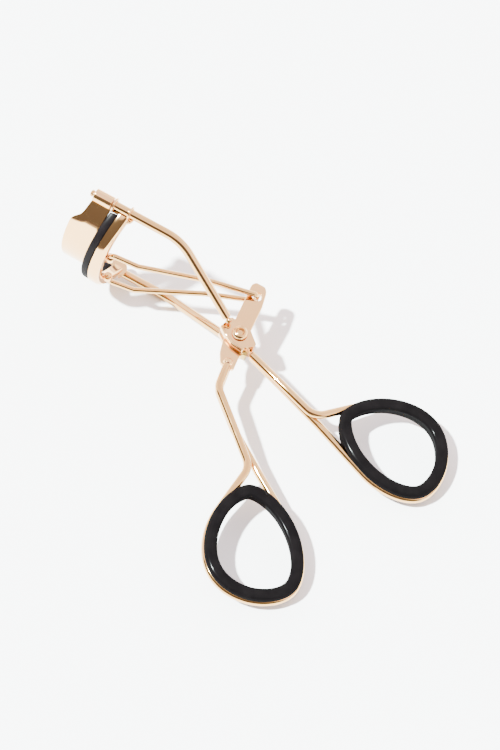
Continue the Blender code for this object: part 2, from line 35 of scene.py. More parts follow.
# Pivot and bracket
PIVOT_H = 8.15
SCREW_R = 1.0
SCREW_HEAD_R = 1.95
NUT_R = 2.2
WASHER_R = 2.4
PIVOT_BORE_R = 1.3
FLANGE_OUTLINE = [
    (4.9, 8.4),
    (3.8, 5.2),
    (-2.1, 6.1),
    (-4.9, 8.6),
    (-4.75, 9.5),
    (-3.45, 10.5),
    (-2.4, 11.2),
    (0.25, 11.0),
    (2.65, 10.0),
]
FLANGE_TOP = 3.1
FLANGE_THICKNESS = 1.0
WEB_X = -3.95
SLOT_END = (9.0, 14.0)
FOLD_LINE = [(4.6, 8.6, 0.0), (2.65, 10.0, 0.0), (0.3, 11.0, 0.0), (-2.5, 11.25, 0.0)]
FOLD_W = (1.0, 3.1)             # the fold hangs from the flange towards the lever plate
FOLD_CORNER_RADIUS = 3.0
ROOT_BLOCK_LOW = (-4.05, 10.8, -1.7)
ROOT_BLOCK_HIGH = (-2.7, 12.1, 1.7)

# Guide rods: along x, then bent inwards to the bracket
ROD_R = 1.15
ROD_W = 16.5
ROD_CORNER_X = 22.5
ROD_CORNER_RADIUS = 12.0
ROD_END = (3.34, 7.33, 4.3)
SHOULDER_X = 41.4

# Jaws: plate, bar and pad follow arcs about axes along x, and lean forward as they rise
JAW_LEAN = 0.17
LEAN_FROM_H = 1.5
SHEET = 0.45
PLATE_R = 19.7
PLATE_CENTRE_H = -11.1
PLATE_END_ANGLE = 54.0
PLATE_REAR_X = 41.5
PLATE_FRONT_END_X = 46.8
PLATE_FRONT_MID_X = 49.3
PLATE_STEP_ANGLE = 35.5
PLATE_STEP_WIDTH = 3.2
PLATE_END_FLARE = 0.5
LIP_FOOT_X = 42.3
LIP_TOP_R = 15.2
LIP_SHARE = 0.3                 # of the height at which the lip would cover the pad
SLEEVE_R = 1.7
SLEEVE_X = (41.65, 46.6)
SLEEVE_BORE_R = 1.0
BAR_R = 17.2
BAR_CENTRE_H = -5.2
BAR_REAR_X = 36.5
BAR_MOUTH_X = 39.2
BAR_DEPTH = 2.8
BAR_END_ANGLE = 68.0
COLLAR_BORE_R = 1.3
COLLAR_THICKNESS = 0.5
COLLARS = [(36.7, 1.7), (41.1, 1.9)]
CHEEK_W = (14.2, 15.0)
CHEEK_AT = (37.6, 0.2)
CHEEK_R = 2.2
CHEEK_STEP = (36.9, 0.95)
CHEEK_BRIDGE_H = -1.3
KNUCKLE_AT = (37.0, 8.0)
KNUCKLE_R = 1.15
KNUCKLE_W = (4.6, 6.1)
PAD_REAR_X = 37.3
PAD_NECK_X = 39.5
PAD_FRONT_X = 41.4
PAD_END_ANGLE = 66.5
PAD_NECK_DEPTH = 1.3
PAD_HEAD_DEPTH = 2.4
PAD_CORNER = 0.4

# Link
LINK_R = 0.7
HOOK_AT = (1.3, -4.1)
HOOK_W = 1.65
HOOK_HOLE_R = 1.25
LINK_KINK = (13.5, -0.1, 3.85)
LINK_ELBOW = (29.8, 7.1, 6.75)
LINK_BASE_W = 7.25
LINK_END_W = 4.2
LINK_BEND_RADIUS = 1.3

# Lever plate: x and h of the middle, and width, of its sections
LEVER_SECTIONS = [
    (1.95, -7.5, 2.3),
    (1.95, -7.2, 3.3),
    (1.9, -6.5, 4.2),
    (1.75, -5.6, 4.5),
    (1.2, -2.2, 4.9),
    (0.6, 5.0, 4.8),
    (0.5, 8.15, 5.7),
    (0.3, 10.9, 5.35),
    (-0.3, 14.0, 4.9),
    (-1.0, 16.0, 4.0),
    (-1.15, 16.5, 3.4),
]
LEVER_HALF_HEIGHT = 0.7
CRIMP_FROM = (-0.82, 14.6)      # the swellings round the strands
CRIMP_TO = (-1.1, 16.5)
CRIMP_R = 1.25

# Handles: strands run beside the rings at these (u, v) points, or at (x, h) points on the lever
WIRE_R = 1.02
STRAND_W = 1.04
FRAME_UPPER_STRAND = [(-41.2, -9.35)]
FRAME_LOWER_STRAND = [(-17.0, -9.4), (-41.2, -8.9)]
LEVER_UPPER_ROOT = [(-0.88, 14.95), (-2.0, 22.7)]
LEVER_UPPER_STRAND = [(-30.0, -5.9)]
LEVER_LOWER_STRAND = [(-17.0, -8.0), (-30.0, -6.2)]
LEVER_LOWER_ROOT = [(-2.2, 22.5), (-1.05, 14.95)]
FRAME_RING = {"at": (-46.8, 13.9), "angle": 162.8, "side": 1, "loop_start": 155.0}
LEVER_RING = {"at": (-28.9, 54.1), "angle": 138.7, "side": -1, "loop_start": 146.0}
LOOP_END = -90.0
LOOP_W = -0.5
LOOP_OFFSET = 2.2
CROTCH_RADIUS = 4.5

# Finger rings: distance from the hole's centre to its edge line, as a short series in the angle
HOLE_MEAN_R = 10.49
HOLE_OVAL = (1.465, 0.29)
HOLE_EGG = (-0.233, -0.689)

# Camera, in the flat frame
CAMERA_TARGET = (-7.17, 15.31, 0.0)
CAMERA_AZIMUTH = 191.53
CAMERA_ELEVATION = 66.0
CAMERA_ROLL = 18.05
CAMERA_DISTANCE = 485.0
CAMERA_LENS = 94.35

# Light
SUN_FROM = (5.96, 5.38, 14.5)
SUN_ANGLE = 3.0
SUN_STRENGTH = 27.0
SUN_COLOUR = (0.90, 1.0, 0.99)
WORLD_STRENGTH = 5.3

# Colours
SHEET_PALE = (0.83, 0.50, 0.215)
SHEET_DEEP = (0.80, 0.465, 0.185)
WIRE_PALE = (0.70, 0.42, 0.165)
WIRE_DEEP = (0.63, 0.36, 0.13)
BRASS_PALE = (0.44, 0.29, 0.07)
BRASS_DEEP = (0.38, 0.24, 0.05)
PLASTIC_PALE = (0.0042, 0.0036, 0.0038)
PLASTIC_DEEP = (0.0028, 0.0024, 0.0026)
RUBBER_PALE = (0.0062, 0.0048, 0.0052)
RUBBER_DEEP = (0.0040, 0.0032, 0.0035)
FLOOR_PALE = (0.9, 0.895, 0.9)
FLOOR_DEEP = (0.885, 0.88, 0.886)
BACKDROP = (1.62, 1.61, 1.62)

# Scales of the surfaces' noise, per metre
PLATING_DRIFT = 70.0
PLATING_HAZE = 420.0
PLATING_RIPPLE = 260.0
BLACK_DRIFT = 300.0
BLACK_HAZE = 500.0
FLOOR_DRIFT = 9.0

# Floor, in metres
FLOOR_RADII = (0.02, 0.5, 2.0, 4.0)
FLOOR_SIDES = 48

# The room around the tool, as stops over the height of a direction: the dark +y side and the open
# side, and the stops over y that pass from one to the other
ROOM_BY_HEIGHT = [
    (0.0, (0.30, 0.27, 0.27)),
    (0.06, (0.05, 0.045, 0.045)),
    (0.86, (0.06, 0.054, 0.054)),
    (0.93, (0.80, 0.70, 0.71)),
]
OPEN_SIDE = [
    (0.0, (0.35, 0.31, 0.31)),
    (0.06, (0.95, 0.84, 0.85)),
    (0.14, (0.95, 0.84, 0.85)),
    (0.18, (0.12, 0.11, 0.11)),
    (0.28, (0.12, 0.11, 0.11)),
    (0.33, (0.95, 0.84, 0.85)),
    (0.45, (0.85, 0.75, 0.76)),
    (0.85, (0.55, 0.49, 0.5)),
]
DARK_SIDE = [(0.30, (0.0, 0.0, 0.0)), (0.40, (1.0, 1.0, 1.0))]

# Details of the fine pieces: corner radii, bevel widths and profiles
SMOOTH_DEGREES = 34.0
BEVEL_DEGREES = 38.0
THROUGH = 9.0                   # half the length of tools that pass right through
GAP = 0.3
FLANGE_CORNER = 0.45
FLANGE_BEVEL = 0.14
FOLD_BEVEL = 0.3
ROOT_BLOCK_BEVEL = 0.25
SLEEVE_CORNER = 0.2
COLLAR_CORNER = 0.15
CHEEK_BEVEL = 0.2
KNUCKLE_CORNER = 0.25
KNUCKLE_PLAY = 0.05
LEVER_CORNER = 0.28
LEVER_BEVEL = 0.12
NUT_BEVEL = 0.15
WASHER_CORNER = 0.12
SHANK_SHOULDER = 0.1            # chamfer under the head
SHANK_END = (0.15, 0.3, 0.25)   # below the nut: start and end of the chamfer, and its depth
PAD_END_NECK = 0.4              # shares of the pad's full section that are left at its ends
PAD_END_HEAD = 0.35
PAD_END_FRONT = 0.5
PAD_NECK_SLOPE = 0.35
BAR_CORNER = 0.75
PAD_END_EASE = 1.2
NUT_HEIGHT = 1.2
WASHER_W = 1.45
WASHER_HALF = 0.35
SPIGOT_PROFILE = [
    (47.8, 0.2), (47.78, 0.5), (47.65, 0.75), (47.45, 0.88), (47.2, 0.88), (47.05, 0.8),
    (47.0, 0.72), (44.0, 0.72), (41.5, 0.72), (41.46, 1.0), (41.4, 1.12),
]
ROD_FOOT_PROFILE = [
    (1.9, 1.15), (1.65, 1.12), (1.5, 0.98), (1.42, 0.7), (1.3, 0.52), (1.15, 0.52), (1.02, 0.7),
    (0.75, 0.86), (0.45, 0.88), (0.2, 0.72), (0.06, 0.48), (0.0, 0.2),
]
HEAD_PROFILE = [
    (0.05, 0.5), (0.3, 0.49), (0.6, 0.42), (0.78, 0.34), (0.9, 0.42), (1.0, 0.66), (1.12, 0.84),
    (1.3, 0.88), (1.5, 0.8), (1.7, 0.62), (1.87, 0.38), (1.95, 0.16), (1.95, 0.05),
]
RING_SECTION = [
    (0.0, -1.9), (0.6, -2.5), (1.8, -2.5), (2.4, -1.9), (2.4, -1.63), (1.75, -1.5), (1.35, -1.1),
    (1.08, -0.5), (1.35, 0.1), (1.75, 0.5), (2.3, 0.7), (2.75, 1.0), (2.8, 1.5), (2.45, 2.15),
    (1.7, 2.5), (0.9, 2.5), (0.3, 2.45), (-0.15, 2.25), (-0.4, 1.8), (-0.3, 1.2), (0.0, 0.6),
]


# ---------------------------------------------------------------- shapes in the flat frame


def skin(shape, rings, loop=False):
    """Join rings of points into a surface; a loop closes on itself, otherwise the ends get faces."""
    rows = [[shape.verts.new(point) for point in ring] for ring in rings]
    pairs = list(zip(rows, rows[1:]))
    if loop:
        pairs.append((rows[-1], rows[0]))
    for first, second in pairs:
        for i in range(len(first)):
            j = (i + 1) % len(first)
            shape.faces.new((first[i], first[j], second[j], second[i]))
    if not loop:
        shape.faces.new(rows[0])
        shape.faces.new(rows[-1])


def tube(shape, path, radii, sides=28):
    """A round wire along a path, with one radius for each point."""
    path = [Vector(point) for point in path]
    ahead = [(b - a).normalized() for a, b in zip(path, path[1:])]
    tangents = [ahead[0]]
    tangents += [(a + b).normalized() for a, b in zip(ahead, ahead[1:])]
    tangents.append(ahead[-1])
    side = tangents[0].orthogonal().normalized()
    rings = []
    for i, (point, tangent) in enumerate(zip(path, tangents)):
        if i:
            side = tangents[i - 1].rotation_difference(tangent) @ side
        side = (side - tangent * side.dot(tangent)).normalized()
        other = tangent.cross(side)
        turns = [2.0 * math.pi * step / sides for step in range(sides)]
        rings.append([
            point + (side * math.cos(turn) + other * math.sin(turn)) * radii[i] for turn in turns
        ])
    skin(shape, rings)


def eased(path, radius, dome=0.5):
    """Points and radii of a wire whose two ends are drawn in to a shallow dome."""
    path = [Vector(point) for point in path]
    start = (path[1] - path[0]).normalized()
    end = (path[-2] - path[-1]).normalized()
    turns = [math.radians(degrees) for degrees in (12, 30, 48, 66, 90)]
    depths = [radius * dome * (1.0 - math.cos(turn)) for turn in turns]
    radii = [radius * math.sin(turn) for turn in turns]
    near = [path[0] + start * depth for depth in depths]
    far = [path[-1] + end * depth for depth in depths]
    middle = path[1:-1]
    return near + middle + far[::-1], radii + [radius] * len(middle) + radii[::-1]


def rounded_path(corners, radius, steps=14):
    """A line through 3-D corners, with every inner corner turned into an arc."""
    corners = [Vector(corner) for corner in corners]
    path = [corners[0]]
    for before, corner, after in zip(corners, corners[1:], corners[2:]):
        back = (before - corner).normalized()
        ahead = (after - corner).normalized()
        half = back.angle(ahead) / 2.0
        tangent = radius / math.tan(half)
        centre = corner + (back + ahead).normalized() * radius / math.sin(half)
        start = corner + back * tangent - centre
        sweep = math.pi - 2.0 * half
        spin_axis = start.cross(corner + ahead * tangent - centre).normalized()
        for i in range(steps + 1):
            turn = Matrix.Rotation(sweep * i / steps, 3, spin_axis)
            path.append(centre + turn @ start)
    path.append(corners[-1])
    return path


def rounded_outline(corners, radius, steps=4):
    """A closed 2-D outline with every corner turned into an arc."""
    closed = [corners[-1], *corners, corners[0]]
    path = rounded_path([(a, b, 0.0) for a, b in closed], radius, steps)
    return [(point.x, point.y) for point in path[1:-1]]


def ribbon(line, thickness, cap_steps=5):
    """The closed outline of a thin sheet along a 2-D line, with round edges."""
    line = [Vector((a, b, 0.0)) for a, b in line]
    half = thickness / 2.0
    ahead = [(b - a).normalized() for a, b in zip(line, line[1:])]
    tangents = [ahead[0]]
    tangents += [(a + b).normalized() for a, b in zip(ahead, ahead[1:])]
    tangents.append(ahead[-1])
    left = [point + Vector((-t.y, t.x, 0.0)) * half for point, t in zip(line, tangents)]
    right = [point - Vector((-t.y, t.x, 0.0)) * half for point, t in zip(line, tangents)]
    outline = list(left)
    for tip, tangent in ((line[-1], tangents[-1]), (line[0], -tangents[0])):
        normal = Vector((-tangent.y, tangent.x, 0.0))
        for i in range(1, cap_steps):
            turn = math.pi * i / cap_steps
            outline.append(tip + (normal * math.cos(turn) + tangent * math.sin(turn)) * half)
        if tip is line[-1]:
            outline += right[::-1]
    return [(point.x, point.y) for point in outline]


def turned(shape, profile, at, sides=64):
    """Turn a profile of (radius, w) about the w direction at (x, h), with a face at each end."""
    rings = []
    for radius, w in profile:
        turns = [2.0 * math.pi * i / sides for i in range(sides)]
        rings.append([(at[0] + radius * math.cos(t), at[1] + radius * math.sin(t), w) for t in turns])
    skin(shape, rings)


def turned_ring(shape, profile, along, at, sides=64):
    """Turn a closed profile of (radius, distance) about an axis along x or w through a point."""
    at = Vector(at)
    rings = []
    for i in range(sides):
        cos = math.cos(math.tau * i / sides)
        sin = math.sin(math.tau * i / sides)
        if along == "x":
            rings.append([at + Vector((far, radius * cos, radius * sin)) for radius, far in profile])
        else:
            rings.append([at + Vector((radius * cos, radius * sin, far)) for radius, far in profile])
    skin(shape, rings, loop=True)


def sleeve_profile(inner, outer, start, end, corner):
    """The closed section of a tube wall, with rounded corners."""
    corners = [(inner, start), (outer, start), (outer, end), (inner, end)]
    return rounded_outline(corners, corner)


def prism(shape, outline, low, high):
    """A flat outline in x and h, from w low to w high."""
    skin(shape, [[(x, h, w) for x, h in outline] for w in (low, high)])


def block(shape, low, high):
    """A box between two corners."""
    outline = [(low[0], low[1]), (high[0], low[1]), (high[0], high[1]), (low[0], high[1])]
    prism(shape, outline, low[2], high[2])


def blank(name, fill):
    """A working object in the flat frame, in millimetres, from a function that fills a bmesh."""
    shape = bmesh.new()
    fill(shape)
    bmesh.ops.recalc_face_normals(shape, faces=shape.faces)
    mesh = bpy.data.meshes.new(name)
    shape.to_mesh(mesh)
    shape.free()
    work = bpy.data.objects.new(name, mesh)
    bpy.context.scene.collection.objects.link(work)
    return work


def worked(name, fill, cuts=(), bevel=0.0):
    """A mesh shaped by a function, then cut by other shapes, then eased along its sharp edges."""
    work = blank(name, fill)
    tools = [blank(f"{name}_tool{i}", cut) for i, cut in enumerate(cuts)]
    for tool in tools:
        modifier = work.modifiers.new(tool.name, "BOOLEAN")
        modifier.operation = "DIFFERENCE"
        modifier.solver = "EXACT"
        modifier.object = tool
    if bevel:
        modifier = work.modifiers.new("bevel", "BEVEL")
        modifier.width = bevel
        modifier.segments = 3
        modifier.limit_method = "ANGLE"
        modifier.angle_limit = math.radians(BEVEL_DEGREES)
        modifier.use_clamp_overlap = True
    evaluated = work.evaluated_get(bpy.context.evaluated_depsgraph_get())
    mesh = bpy.data.meshes.new_from_object(evaluated)
    for thing in [work, *tools]:
        bpy.data.objects.remove(thing)
    return mesh


def show(node, body, material, meshes):
    """Put meshes of the flat frame in the world as one piece that stands for a CAD node."""
    shape = bmesh.new()
    for mesh in meshes:
        shape.from_mesh(mesh)
    shape.transform(FLAT_TO_WORLD)
    mesh = bpy.data.meshes.new(f"{node}_fine")
    shape.to_mesh(mesh)
    shape.free()
    mesh.shade_smooth()
    mesh.set_sharp_from_angle(angle=math.radians(SMOOTH_DEGREES))
    mesh.materials.clear()
    mesh.materials.append(material)
    piece = bpy.data.objects.new(f"{node}_fine", mesh)
    bpy.context.scene.collection.objects.link(piece)
    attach(piece, body)
    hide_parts(node)


# ---------------------------------------------------------------- finger rings and handles


def hole_point(angle, offset):
    """A point outside the ring hole's edge by offset, where the edge faces the given angle."""
    oval_cos, oval_sin = HOLE_OVAL
    egg_cos, egg_sin = HOLE_EGG
    reach = HOLE_MEAN_R + offset
    reach += oval_cos * math.cos(2 * angle) + oval_sin * math.sin(2 * angle)
    reach += egg_cos * math.cos(3 * angle) + egg_sin * math.sin(3 * angle)
    slide = 2 * (oval_sin * math.cos(2 * angle) - oval_cos * math.sin(2 * angle))
    slide += 3 * (egg_sin * math.cos(3 * angle) - egg_cos * math.sin(3 * angle))
    u = reach * math.cos(angle) - slide * math.sin(angle)
    v = reach * math.sin(angle) + slide * math.cos(angle)
    return u, v


class RingPlace:
    """Where a finger ring sits: u points away from the pivot, v to the outer side."""

    def __init__(self, ring):
        angle = math.radians(ring["angle"])
        self.centre = Vector((*ring["at"], 0.0))
        self.u = Vector((math.cos(angle), math.sin(angle), 0.0))
        self.v = Vector((-self.u.y, self.u.x, 0.0)) * ring["side"]
        self.loop_start = ring["loop_start"]

    def point(self, u, v, w=0.0):
        return self.centre + self.u * u + self.v * v + Vector((0.0, 0.0, w))


def smooth_loop(points, rounds=2):
    """Corner-cutting of a closed 2-D outline, which turns a coarse section into a soft one."""
    for _ in range(rounds):
        finer = []
        for (ax, ay), (bx, by) in zip(points, points[1:] + points[:1]):
            finer.append((ax * 0.75 + bx * 0.25, ay * 0.75 + by * 0.25))
            finer.append((ax * 0.25 + bx * 0.75, ay * 0.25 + by * 0.75))
        points = finer
    return points


def finger_ring(place, stations=180):
    profile = smooth_loop(RING_SECTION)

    def fill(shape):
        rings = []
        for station in range(stations):
            angle = 2.0 * math.pi * station / stations
            rings.append([place.point(*hole_point(angle, offset), w) for offset, w in profile])
        skin(shape, rings, loop=True)

    return worked("finger_ring", fill)


def handle_path(place, outer_start, inner_end, steps=150):
    """One wire: out along the upper strand, round the ring, and back along the lower strand."""
    loop = []
    for i in range(steps + 1):
        angle = math.radians(place.loop_start + (LOOP_END - place.loop_start) * i / steps)
        loop.append(place.point(*hole_point(angle, LOOP_OFFSET), LOOP_W))
    before = outer_start[-1]
    arrival = (loop[1] - loop[0]).normalized()
    rise = (loop[0] - before).dot(place.v)
    corner = loop[0] - arrival * (rise / arrival.dot(place.v))
    corner.z = before.z
    outer = rounded_path([*outer_start, corner, loop[0]], CROTCH_RADIUS)
    inner = rounded_path([loop[-1], *inner_end], CROTCH_RADIUS)
    return outer[:-1] + loop + inner[1:]


def wire_mesh(name, path, radius):
    points, radii = eased(path, radius)
    return worked(name, lambda shape: tube(shape, points, radii))


# ---------------------------------------------------------------- jaws


def jaw_point(x, radius, degrees, centre_h):
    """A point on an arc of the jaws; x is where it would be without the forward lean."""
    angle = math.radians(degrees)
    h = centre_h + radius * math.cos(angle)
    w = radius * math.sin(angle)
    return Vector((x + JAW_LEAN * (h - LEAN_FROM_H), h, w))


def jaw_sweep(shape, profile_at, centre_h, end_angle, stations):
    """Sweep a profile of (x, radius) along an arc; the profile may change on the way."""
    rings = []
    for i in range(stations):
        degrees = -end_angle + 2.0 * end_angle * i / (stations - 1)
        rings.append([jaw_point(x, r, degrees, centre_h) for x, r in profile_at(degrees)])
    skin(shape, rings)


def lip_height(degrees):
    """How far the lip stands out of the plate: low along the pad, and nothing at the ends."""
    angle = math.radians(degrees)
    w = PLATE_R * math.sin(angle)
    reach = (BAR_CENTRE_H - PLATE_CENTRE_H) / LIP_TOP_R
    full = LIP_TOP_R * (math.sqrt(max(0.0, 1.0 - (w / LIP_TOP_R) ** 2)) + reach)
    height = math.hypot(full, w) - PLATE_R
    return LIP_SHARE * max(0.0, height) * (1.0 - (degrees / PLATE_END_ANGLE) ** 6)


def plate_profile(degrees):
    """The fixed plate's sheet: a lip turned up at the rear, a front edge stepping back at the ends."""
    step = (abs(degrees) - PLATE_STEP_ANGLE) / PLATE_STEP_WIDTH
    share = 1.0 / (1.0 + math.exp(2.0 * step))
    along_end = (PLATE_END_ANGLE - abs(degrees)) / (PLATE_END_ANGLE - PLATE_STEP_ANGLE)
    end_front = PLATE_FRONT_END_X + PLATE_END_FLARE * max(0.0, min(1.0, along_end))
    front = end_front + (PLATE_FRONT_MID_X - end_front) * share
    half = SHEET / 2.0
    level = PLATE_R - half
    line = [(front - half, level), ((front + LIP_FOOT_X) / 2.0, level)]
    steps = 8
    for i in range(steps + 1):
        turn = math.pi / 2.0 * i / steps
        x = LIP_FOOT_X - (LIP_FOOT_X - PLATE_REAR_X - half) * math.sin(turn)
        line.append((x, level + lip_height(degrees) * (1.0 - math.cos(turn))))
    return ribbon(line, SHEET)


def bar_profile(_degrees):
    """The clamp bar's channel, open towards the fixed plate."""
    half = SHEET / 2.0
    outer = BAR_R - half
    inner = BAR_R - BAR_DEPTH + half
    back = BAR_REAR_X + half
    mouth = BAR_MOUTH_X - half
    corners = [(mouth, outer, 0.0), (back, outer, 0.0), (back, inner, 0.0), (mouth, inner, 0.0)]
    line = [(point.x, point.y) for point in rounded_path(corners, BAR_CORNER, steps=5)]
    return ribbon(line, SHEET)


def pad_profile(degrees):
    """The pad: a neck in the channel and a wider, rounded head that thins out at its two ends."""
    left = (PAD_END_ANGLE - abs(degrees)) / PAD_END_EASE
    share = math.sqrt(max(0.0, 1.0 - (1.0 - min(1.0, left)) ** 2))
    middle = BAR_R - BAR_DEPTH / 2.0
    neck = PAD_NECK_DEPTH / 2.0 * (PAD_END_NECK + (1.0 - PAD_END_NECK) * share)
    head = PAD_HEAD_DEPTH / 2.0 * (PAD_END_HEAD + (1.0 - PAD_END_HEAD) * share)
    front = PAD_NECK_X + (PAD_FRONT_X - PAD_NECK_X) * (PAD_END_FRONT + (1.0 - PAD_END_FRONT) * share)
    corner = PAD_CORNER * (PAD_END_HEAD + (1.0 - PAD_END_HEAD) * share)
    corners = [
        (PAD_REAR_X, middle + neck),
        (PAD_NECK_X - PAD_NECK_SLOPE, middle + neck),
        (PAD_NECK_X, middle + head),
        (front - corner, middle + head),
        (front, middle + head - corner),
        (front, middle - head + corner),
        (front - corner, middle - head),
        (PAD_NECK_X, middle - head),
        (PAD_NECK_X - PAD_NECK_SLOPE, middle - neck),
        (PAD_REAR_X, middle - neck),
    ]
    return smooth_loop(corners)


def cheek_outline(front):
    """A round ear, cut away where the pad ends, with a bridge to the front collar."""
    step_x, step_h = CHEEK_STEP
    first = math.acos((step_x - CHEEK_AT[0]) / CHEEK_R)
    last = 2.0 * math.pi + math.asin((CHEEK_BRIDGE_H - CHEEK_AT[1]) / CHEEK_R)
    outline = [(front, CHEEK_BRIDGE_H), (front, step_h), (step_x, step_h)]
    steps = 40
    for i in range(steps + 1):
        turn = first + (last - first) * i / steps
        outline.append((CHEEK_AT[0] + CHEEK_R * math.cos(turn), CHEEK_AT[1] + CHEEK_R * math.sin(turn)))
    return outline


def build_fixed_plate(sheet):
    meshes = [worked("plate", lambda shape: jaw_sweep(
        shape, plate_profile, PLATE_CENTRE_H, PLATE_END_ANGLE, 161))]
    wall = sleeve_profile(SLEEVE_BORE_R, SLEEVE_R, *SLEEVE_X, SLEEVE_CORNER)
    for side in (-1, 1):
        at = (0.0, 0.0, side * ROD_W)
        meshes.append(worked("sleeve", lambda shape: turned_ring(shape, wall, "x", at)))
    show("fixed_plate", "frame", sheet, meshes)


def build_guide_rods(metal):
    for side, level in ((1, "upper"), (-1, "lower")):
        w = side * ROD_W
        end = (ROD_END[0], ROD_END[1], side * ROD_END[2])
        bent = rounded_path([(SHOULDER_X, 0.0, w), (ROD_CORNER_X, 0.0, w), end], ROD_CORNER_RADIUS, 20)
        back = (bent[-2] - bent[-1]).normalized()
        points = [Vector((x, 0.0, w)) for x, _ in SPIGOT_PROFILE] + bent[:-1]
        points += [bent[-1] + back * far for far, _ in ROD_FOOT_PROFILE]
        radii = [radius for _, radius in SPIGOT_PROFILE] + [ROD_R] * (len(bent) - 1)
        radii += [radius for _, radius in ROD_FOOT_PROFILE]
        rod = worked("rod", lambda shape: tube(shape, points, radii, sides=40))
        show(f"guide_rod_{level}", "frame", metal, [rod])


def build_bar(sheet, rubber):
    meshes = [worked("bar", lambda shape: jaw_sweep(
        shape, bar_profile, BAR_CENTRE_H, BAR_END_ANGLE, 121))]
    half = COLLAR_THICKNESS / 2.0
    for side in (-1, 1):
        at = (0.0, 0.0, side * ROD_W)
        for x, radius in COLLARS:
            wall = sleeve_profile(COLLAR_BORE_R, radius, x - half, x + half, COLLAR_CORNER)
            meshes.append(worked("collar", lambda shape: turned_ring(shape, wall, "x", at)))
        low, high = sorted(side * value for value in CHEEK_W)
        outline = cheek_outline(COLLARS[-1][0] + half)
        meshes.append(worked("cheek", lambda shape: prism(shape, outline, low, high), bevel=CHEEK_BEVEL))
        start, end = sorted(side * value for value in KNUCKLE_W)
        wall = sleeve_profile(LINK_R + KNUCKLE_PLAY, KNUCKLE_R, start, end, KNUCKLE_CORNER)
        at = (*KNUCKLE_AT, 0.0)
        meshes.append(worked("knuckle", lambda shape: turned_ring(shape, wall, "w", at)))
    show("moving_bar", "carriage", sheet, meshes)
    pad = worked("pad", lambda shape: jaw_sweep(
        shape, pad_profile, BAR_CENTRE_H, PAD_END_ANGLE, 181))
    show("lash_pad", "carriage", rubber, [pad])


# ---------------------------------------------------------------- pivot, bracket, lever, link


def bore(at, radius):
    return lambda shape: turned(shape, [(radius, THROUGH), (radius, -THROUGH)], at, sides=48)


def build_bracket(sheet, brass_metal):
    """Two flanges with a web, a fold rolled along their lever side, and the small block behind."""
    inside = FLANGE_TOP - FLANGE_THICKNESS
    outline = rounded_outline(FLANGE_OUTLINE, FLANGE_CORNER)
    flanges = worked(
        "flanges",
        lambda shape: prism(shape, outline, -FLANGE_TOP, FLANGE_TOP),
        cuts=[
            lambda shape: block(shape, (WEB_X, 0.0, -inside), (*SLOT_END, inside)),
            bore((0.0, PIVOT_H), PIVOT_BORE_R),
        ],
        bevel=FLANGE_BEVEL,
    )
    folds = []
    line = [(point.x, point.y) for point in rounded_path(FOLD_LINE, FOLD_CORNER_RADIUS)]
    skirt = ribbon(line, 2.0 * SHEET)
    for side in (-1, 1):
        low, high = sorted(side * w for w in FOLD_W)
        folds.append(worked("fold", lambda shape: prism(shape, skirt, low, high), bevel=FOLD_BEVEL))
    show("frame_bracket", "frame", sheet, [flanges, *folds])
    root = worked(
        "root",
        lambda shape: block(shape, ROOT_BLOCK_LOW, ROOT_BLOCK_HIGH),
        bevel=ROOT_BLOCK_BEVEL,
    )
    show("frame_root_block", "frame", brass_metal, [root])


def build_pivot(metal):
    at = (0.0, PIVOT_H)
    low = FLANGE_TOP + GAP
    head = [(radius, low + rise) for radius, rise in HEAD_PROFILE]
    start, end, depth = SHANK_END
    nut_low = -low - NUT_HEIGHT
    shank = [(SCREW_HEAD_R - SHANK_SHOULDER, low), (SCREW_R, low), (SCREW_R, nut_low - start)]
    shank += [(SCREW_R - depth, nut_low - end)]
    screw = worked("screw", lambda shape: turned(shape, head + shank, at))
    show("pivot_screw", "frame", metal, [screw])

    def hexagon(shape):
        turned(shape, [(NUT_R, -low), (NUT_R, -low - NUT_HEIGHT)], at, sides=6)

    nut = worked("nut", hexagon, cuts=[bore(at, PIVOT_BORE_R)], bevel=NUT_BEVEL)
    show("pivot_nut", "frame", metal, [nut])
    for side, level in ((1, "upper"), (-1, "lower")):
        faces = (side * WASHER_W - WASHER_HALF, side * WASHER_W + WASHER_HALF)
        wall = sleeve_profile(PIVOT_BORE_R, WASHER_R, *faces, WASHER_CORNER)
        washer = worked("washer", lambda shape: turned_ring(shape, wall, "w", (*at, 0.0)))
        show(f"pivot_washer_{level}", "frame", metal, [washer])


def build_handles(wire, plastic):
    place = RingPlace(FRAME_RING)
    show("frame_finger_ring", "frame", plastic, [finger_ring(place)])
    outer = [place.point(*at, STRAND_W) for at in FRAME_UPPER_STRAND]
    inner = [place.point(*at, -STRAND_W) for at in FRAME_LOWER_STRAND]
    handle = wire_mesh("frame_handle", handle_path(place, outer, inner), WIRE_R)
    show("frame_handle_wire", "frame", wire, [handle])

    place = RingPlace(LEVER_RING)
    show("lever_finger_ring", "lever", plastic, [finger_ring(place)])
    outer = [Vector((*at, STRAND_W)) for at in LEVER_UPPER_ROOT]
    outer += [place.point(*at, STRAND_W) for at in LEVER_UPPER_STRAND]
    inner = [place.point(*at, -STRAND_W) for at in LEVER_LOWER_STRAND]
    inner += [Vector((*at, -STRAND_W)) for at in LEVER_LOWER_ROOT]
    handle = wire_mesh("lever_handle", handle_path(place, outer, inner), WIRE_R)
    show("lever_handle_wire", "lever", wire, [handle])


def lever_sheet(shape):
    """The flat sheet of the lever plate, from its round front end to the strands of its handle."""
    half_height = LEVER_HALF_HEIGHT
    rings = []
    for x, h, width in LEVER_SECTIONS:
        half = width / 2.0
        corners = [(x - half, -half_height), (x + half, -half_height)]
        corners += [(x + half, half_height), (x - half, half_height)]
        outline = rounded_outline(corners, LEVER_CORNER)
        rings.append([(across, h, w) for across, w in outline])
    skin(shape, rings)


